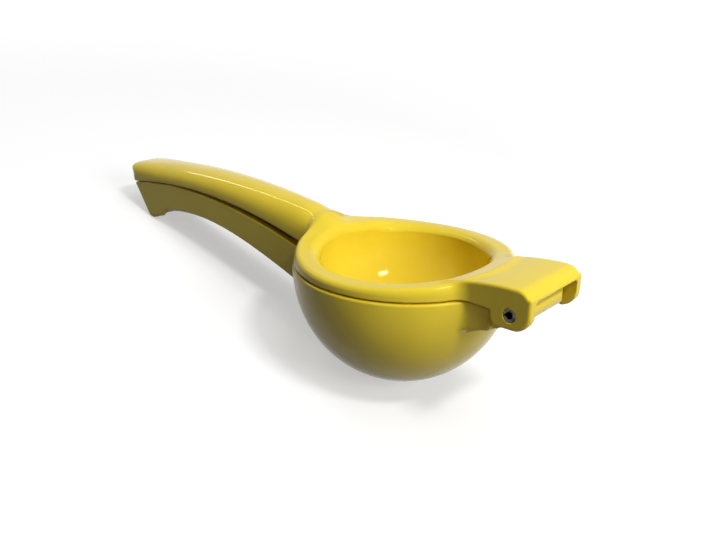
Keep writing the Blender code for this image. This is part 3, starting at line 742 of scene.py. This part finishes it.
def coated(name, group, look):
    """Material whose colour and roughness run between two values with the coat's patches.

    The look holds the two colours, the two roughnesses, the group's own values, the waves' height
    and the constants that the shader keeps on its own sockets.
    """
    finish = bpy.data.materials.new(name)
    finish.use_nodes = True
    tree = finish.node_tree
    link = tree.links.new
    shader = tree.nodes["Principled BSDF"]
    surface = tree.nodes.new("ShaderNodeGroup")
    surface.node_tree = group
    for socket, value in look["surface"].items():
        surface.inputs[socket].default_value = value
    colour = tree.nodes.new("ShaderNodeMix")
    colour.data_type = "RGBA"
    colour.inputs["A"].default_value, colour.inputs["B"].default_value = look["colours"]
    rough = tree.nodes.new("ShaderNodeMapRange")
    rough.inputs["To Min"].default_value, rough.inputs["To Max"].default_value = look["roughness"]
    bump = tree.nodes.new("ShaderNodeBump")
    bump.inputs["Strength"].default_value = look["wave_strength"]
    bump.inputs["Distance"].default_value = look["wave_height"]
    link(surface.outputs["Patch"], colour.inputs["Factor"])
    link(surface.outputs["Patch"], rough.inputs["Value"])
    link(surface.outputs["Wave"], bump.inputs["Height"])
    link(colour.outputs["Result"], shader.inputs["Base Color"])
    link(rough.outputs["Result"], shader.inputs["Roughness"])
    link(bump.outputs["Normal"], shader.inputs["Normal"])
    for socket, value in look["shader"].items():
        shader.inputs[socket].default_value = value
    return finish


# Baked enamel: deeper where it pooled, with waves 2 mm long. The IOR is under real enamel's 1.5,
# because at that value the white surroundings turn the shaded sides grey.
ENAMEL = {
    "colours": ((0.80, 0.595, 0.030, 1.0), (0.87, 0.665, 0.042, 1.0)),
    "roughness": (0.11, 0.07),
    "surface": {"Stretch": (1.0, 1.0, 1.0), "Wave Scale": 480.0,
                "Patch Scale": 42.0, "Patch Contrast": 2.0},
    "wave_strength": 0.25,
    "wave_height": 0.00006,
    "shader": {"IOR": 1.26, "Specular Tint": (1.0, 0.92, 0.66, 1.0)},
}

# Bare spring steel: drawn along the pin, dulled in patches. Its colours are kept near-black, painted shade
# for the pin's end in its bore, darker than bare steel's own grey.
SPRING_STEEL_WITH_PAINTED_SHADE = {
    # Near-black colours: painted shade of the pin's end in its bore
    "colours": ((0.03, 0.028, 0.026, 1.0), (0.14, 0.135, 0.13, 1.0)),
    "roughness": (0.42, 0.24),
    "surface": {"Stretch": (1.0, 0.12, 1.0), "Wave Scale": 2600.0,
                "Patch Scale": 700.0, "Patch Contrast": 3.0},
    "wave_strength": 0.4,
    "wave_height": 0.00003,
    "shader": {"Metallic": 1.0},
}


cup = casting("enamelled_cup", strainer_cup, CUP_GRID)
arm = casting("enamelled_press_arm", press_arm, PRESS_GRID)
pin = spring_pin()

surface = coat_surface()
yellow_enamel = coated("yellow_enamel", surface, ENAMEL)
cup.data.materials.append(yellow_enamel)
arm.data.materials.append(yellow_enamel)
# The pin's steel is painted near-black, standing in for the shade in its bore
pin.data.materials.append(coated("spring_steel", surface, SPRING_STEEL_WITH_PAINTED_SHADE))

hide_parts("strainer_cup")
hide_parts("press_arm")
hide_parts("hinge_pin")
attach(cup, "cup_body")
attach(arm, "press_body")
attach(pin, "press_body")

# Camera, fitted to the rim's ellipse and the outline, in the rim frame
CAMERA_PLACE = (153.788, -198.734, 90.001)
CAMERA_RIGHT = (0.748709, 0.662809, 0.010939)
CAMERA_UP = (-0.239500, 0.255084, 0.936783)
CAMERA_FORWARD = (-0.618123, 0.703999, -0.349736)
FOCAL_PIXELS = 780.6
PHOTO_WIDTH = 716.0
SENSOR = 36.0
CLIP_START = 0.01

camera_data = bpy.data.cameras.new("camera")
camera_data.sensor_width = SENSOR
camera_data.lens = FOCAL_PIXELS * SENSOR / PHOTO_WIDTH
camera_data.clip_start = CLIP_START
camera = bpy.data.objects.new("camera", camera_data)
bpy.context.scene.collection.objects.link(camera)
camera.matrix_world = RIM_TO_WORLD @ Matrix([
    (right, up, -forward, MM * place)
    for right, up, forward, place in zip(CAMERA_RIGHT, CAMERA_UP, CAMERA_FORWARD, CAMERA_PLACE)
] + [(0.0, 0.0, 0.0, 1.0)])
bpy.context.scene.camera = camera


def area_lamp(name, place, size, power, in_gloss):
    """Rectangular lamp that faces the press; size in metres, power in watts, seen in the gloss or not."""
    data = bpy.data.lights.new(name, "AREA")
    data.shape = "RECTANGLE"
    data.size, data.size_y = size
    data.energy = power
    lamp = bpy.data.objects.new(name, data)
    bpy.context.scene.collection.objects.link(lamp)
    lamp.location = place
    lamp.rotation_euler = (Vector(LAMP_TARGET) - Vector(place)).to_track_quat("-Z", "Y").to_euler()
    lamp.visible_glossy = in_gloss


# Lamps: two soft ones give the light and aren't seen in the gloss; a small one gives the glint in
# the dish, and a strip the streaks along the handle and the flange. Place, size, power, in the gloss.
LAMP_TARGET = (0.0, 0.0, 0.03)
LAMPS = {
    "overhead_softbox": ((0.10, 0.10, 0.95), (0.85, 0.65), 3.0, False),
    "side_softbox": ((0.66, -0.03, 0.46), (0.40, 0.35), 2.6, False),
    "glint_lamp": ((0.45, -0.09, 0.83), (0.19, 0.07), 3.4, True),
    "streak_lamp": ((-0.71, 0.10, 0.60), (0.04, 0.60), 1.3, True),
}
for lamp_name, lamp_values in LAMPS.items():
    area_lamp(lamp_name, *lamp_values)

# World: dim light all round, and plain white for what the camera and the gloss see
AMBIENT = 0.085
WHITE = 1.0


def seen_share(tree):
    """One for the camera's, gloss and clear rays, and zero for the diffuse rays that light things."""
    path = tree.nodes.new("ShaderNodeLightPath")
    total = path.outputs["Is Camera Ray"]
    for name in ("Is Glossy Ray", "Is Transmission Ray"):
        add = tree.nodes.new("ShaderNodeMath")
        add.use_clamp = True
        tree.links.new(total, add.inputs[0])
        tree.links.new(path.outputs[name], add.inputs[1])
        total = add.outputs["Value"]
    return total


def seen_grey(tree, dim, seen):
    """Grey that is dim for diffuse rays, and has the seen value for the others."""
    mix = tree.nodes.new("ShaderNodeMix")
    mix.inputs["A"].default_value, mix.inputs["B"].default_value = dim, seen
    tree.links.new(seen_share(tree), mix.inputs["Factor"])
    return mix


world = bpy.data.worlds.new("studio")
bpy.context.scene.world = world
world.use_nodes = True
world_tree = world.node_tree
world_tree.links.new(seen_grey(world_tree, AMBIENT, WHITE).outputs["Result"],
                     world_tree.nodes["Background"].inputs["Color"])

# Floor: where it is seen it is pale and glows a little, and more further out, so that it runs into
# the white without losing the shadow; for the light that it throws back it is a darker grey
FLOOR_SIZE = 6.0
FLOOR_SEEN = 0.60
FLOOR_GLOW = 0.48
FLOOR_NEAR = 0.25
FLOOR_FAR = 1.0
FLOOR_BOUNCE = 0.10
floor_material = bpy.data.materials.new("pale_floor")
floor_material.use_nodes = True
floor_tree = floor_material.node_tree
floor_shader = floor_tree.nodes["Principled BSDF"]
floor_place = floor_tree.nodes.new("ShaderNodeTexCoord")
floor_reach = floor_tree.nodes.new("ShaderNodeVectorMath")
floor_reach.operation = "LENGTH"
floor_glow = floor_tree.nodes.new("ShaderNodeMapRange")
for socket, value in (("From Min", FLOOR_NEAR), ("From Max", FLOOR_FAR),
                      ("To Min", FLOOR_GLOW), ("To Max", WHITE)):
    floor_glow.inputs[socket].default_value = value
floor_seen_glow = seen_grey(floor_tree, 0.0, FLOOR_GLOW)
floor_colour = seen_grey(floor_tree, FLOOR_BOUNCE, FLOOR_SEEN)
floor_tree.links.new(floor_place.outputs["Object"], floor_reach.inputs[0])
floor_tree.links.new(floor_reach.outputs["Value"], floor_glow.inputs["Value"])
floor_tree.links.new(floor_glow.outputs["Result"], floor_seen_glow.inputs["B"])
floor_tree.links.new(floor_seen_glow.outputs["Result"], floor_shader.inputs["Emission Color"])
floor_tree.links.new(floor_colour.outputs["Result"], floor_shader.inputs["Base Color"])
floor_shader.inputs["Emission Strength"].default_value = 1.0
floor_shader.inputs["Roughness"].default_value = 1.0
floor_shader.inputs["Specular IOR Level"].default_value = 0.0
floor_half = 0.5 * FLOOR_SIZE
floor_corners = floor_half * np.array([(-1.0, -1.0, 0.0), (1.0, -1.0, 0.0),
                                       (1.0, 1.0, 0.0), (-1.0, 1.0, 0.0)])
floor = mesh_object("floor", floor_corners, np.array([(0, 1, 2, 3)]))
floor.data.materials.append(floor_material)

bpy.context.scene.view_settings.view_transform = "Standard"
